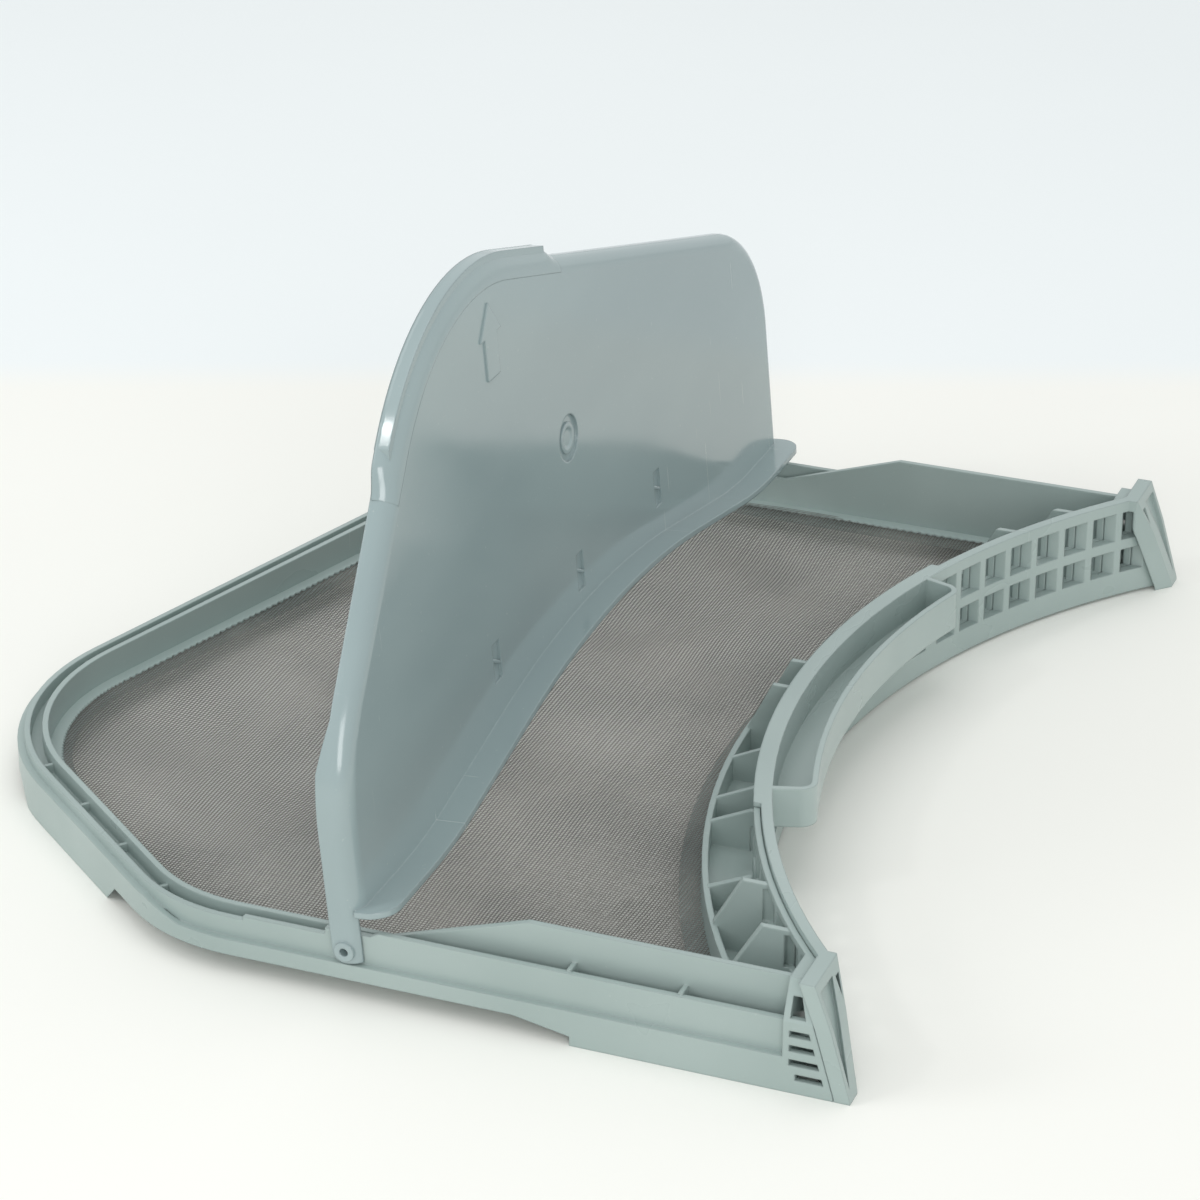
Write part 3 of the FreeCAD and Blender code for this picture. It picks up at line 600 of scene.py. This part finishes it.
def slotRibs():
    for index, letter in enumerate("ABC", -1):
        bpy.ops.object.select_all(action="DESELECT")
        bpy.ops.mesh.primitive_cube_add(size=1.0)
        rib = bpy.context.object
        rib.name = "slotRib" + letter
        middle = slotRib["side"] + index * slotRib["pitch"]
        for vertex in rib.data.vertices:
            along = vertex.co.y * slotRib["length"]
            across = vertex.co.x * slotRib["width"] + along * slotRib["slant"]
            height = flapForm["face"] + (vertex.co.z - 0.5) * slotRib["tall"]
            vertex.co = (across - slotRib["rise"], middle + along, height)
        tidyMesh(rib)
        softEdge(rib, slotRib)
        layOnFlap(rib)


slotRibs()

# Thick rounded edge of the nose, where a hand grips the flap
gripBand = {
    "behind": -0.095,            # it lies behind this and between the next two
    "near": -0.1092,
    "far": 0.0038,
    "step": 0.0016,
    "proud": 0.0031,             # past the outline
    "endProud": 0.0003,
    "blend": 0.0083,             # from its ends to its full size
    "inset": 0.0042,
    "clear": 0.00002,            # over the flap's face
    "foot": -0.0004,
    "backDeep": 0.0008,
    "sides": 12,
    "smooth": 50,
}


def inGrip(p):
    return p.x < gripBand["behind"] and gripBand["near"] < p.y < gripBand["far"]


def gripBandForm():
    # a quarter round from the flap's face out to the grip's skirt, that fades out at both ends
    line = outlineRun(0.0, gripBand["step"], inGrip)
    lengths = [0.0]
    for here, after in zip(line, line[1:]):
        lengths.append(lengths[-1] + (after - here).length)
    tall = flapForm["face"] + gripBand["clear"] - gripBand["foot"]
    sides = gripBand["sides"]
    rings = []
    for k, here in enumerate(line):
        out = outwardOf(line, k)
        near = min(1.0, min(lengths[k], lengths[-1] - lengths[k]) / gripBand["blend"])
        swell = near * near * (3 - 2 * near)
        proud = gripBand["endProud"] + (gripBand["proud"] - gripBand["endProud"]) * swell
        ring = []
        for e in range(sides + 1):
            angle = math.pi / 2 * e / sides
            across = math.sin(angle) * (gripBand["inset"] + proud) - gripBand["inset"]
            place = here + out * across
            ring.append((place.x, place.y, gripBand["foot"] + math.cos(angle) * tall))
        back = here - out * gripBand["inset"]
        rings.append(ring + [(back.x, back.y, flapForm["face"] - gripBand["backDeep"])])
    return skinned("gripBand", [rings])


band = gripBandForm()
tidyMesh(band, gripBand["smooth"])
layOnFlap(band)
print("flap dressed")

# Floor, backdrop, lamps and camera
studio = {
    "floorSize": 8.0,
    "floor": (244, 245, 240),
    "sweep": (238, 244, 245),
    "sweepStart": 1.215,
    "sweepSoft": 0.03,
    "mottle": {"scale": 7.0, "detail": 3.0, "depth": 0.02, "least": 0.99},
    "rough": 0.75,
    "shine": 0.2,
    "world": 0.74,
    "aim": (0.0, 0.0, 0.03),
    "camera": (0.37177, -0.913, 0.521),
    "heading": 21.62,
    "pitch": 26.11,
    "lens": 123.0,
    "sensor": 36.0,
}

# name, place, size, power
lamps = (
    ("topBox", (-0.1, 0.0, 1.5), 1.2, 4.0),
    ("sideBox", (-1.4, -0.9, 0.9), 0.7, 5.0),
    ("frontBox", (0.85, -1.7, 0.8), 0.9, 10.0),
    ("spark", (-0.75, -0.75, 1.25), 0.12, 1.2),
)

cameraPlace = Vector(studio["camera"])
heading = math.radians(studio["heading"])
pitch = math.radians(studio["pitch"])

bpy.ops.object.select_all(action="DESELECT")
bpy.ops.mesh.primitive_plane_add(size=studio["floorSize"], location=(0, 0, 0))
floor = bpy.context.object
floor.name = "floorSheet"


def floorFinish():
    # the pale floor, which turns into the backdrop's colour a set way ahead of the camera
    f = Finish(bpy.data.materials.new("paleFloor"))
    ahead = Vector((-math.sin(heading), math.cos(heading), 0.0))
    coords = f.node("ShaderNodeTexCoord", out="Object")
    depth = f.node("ShaderNodeVectorMath", {"operation": "DOT_PRODUCT"}, {
        0: coords, 1: ahead}, out="Value")
    reach = depth - cameraPlace.dot(ahead)
    far = f.ramp(reach, studio["sweepStart"], studio["sweepStart"] + studio["sweepSoft"])
    mottle = f.cloud(studio["mottle"]) * studio["mottle"]["depth"] + studio["mottle"]["least"]
    base = f.mix(far, linear(*studio["floor"]), linear(*studio["sweep"]))
    tinted = f.node("ShaderNodeVectorMath", {"operation": "SCALE"}, {0: base, "Scale": mottle})
    shader = f.node("ShaderNodeBsdfPrincipled", None, {
        "Base Color": tinted, "Roughness": studio["rough"], "Specular IOR Level": studio["shine"]})
    return f.finished(shader)


coat(floor, floorFinish())


def studioAir():
    # white light on the object, and the backdrop's colour where the camera or a gloss looks out
    air = Finish(bpy.data.worlds.new("studioAir"))
    looks = air.maths("MAXIMUM", air.node("ShaderNodeLightPath", out="Is Camera Ray"),
                      air.node("ShaderNodeLightPath", out="Is Glossy Ray"))
    seen = air.node("ShaderNodeBackground", None, {"Color": linear(*studio["sweep"]), "Strength": 1.0})
    lit = air.node("ShaderNodeBackground", None, {
        "Color": linear(255, 255, 255), "Strength": studio["world"]})
    picked = air.node("ShaderNodeMixShader", None, {"Fac": looks, 1: lit, 2: seen})
    return air.finished(picked, "ShaderNodeOutputWorld")


bpy.context.scene.world = studioAir()

for name, place, size, power in lamps:
    lamp = bpy.data.lights.new(name, "AREA")
    lamp.shape = "SQUARE"
    lamp.size = size
    lamp.energy = power
    holder = bpy.data.objects.new(name, lamp)
    bpy.context.scene.collection.objects.link(holder)
    holder.location = place
    holder.rotation_euler = (Vector(studio["aim"]) - Vector(place)).to_track_quat("-Z", "Y").to_euler()

eye = bpy.data.cameras.new("eye")
eye.lens = studio["lens"]
eye.sensor_width = studio["sensor"]
camera = bpy.data.objects.new("eye", eye)
bpy.context.scene.collection.objects.link(camera)
camera.location = cameraPlace
camera.rotation_euler = (math.pi / 2 - pitch, 0.0, heading)
bpy.context.scene.camera = camera
bpy.context.scene.view_settings.view_transform = "Standard"
print("studio set")
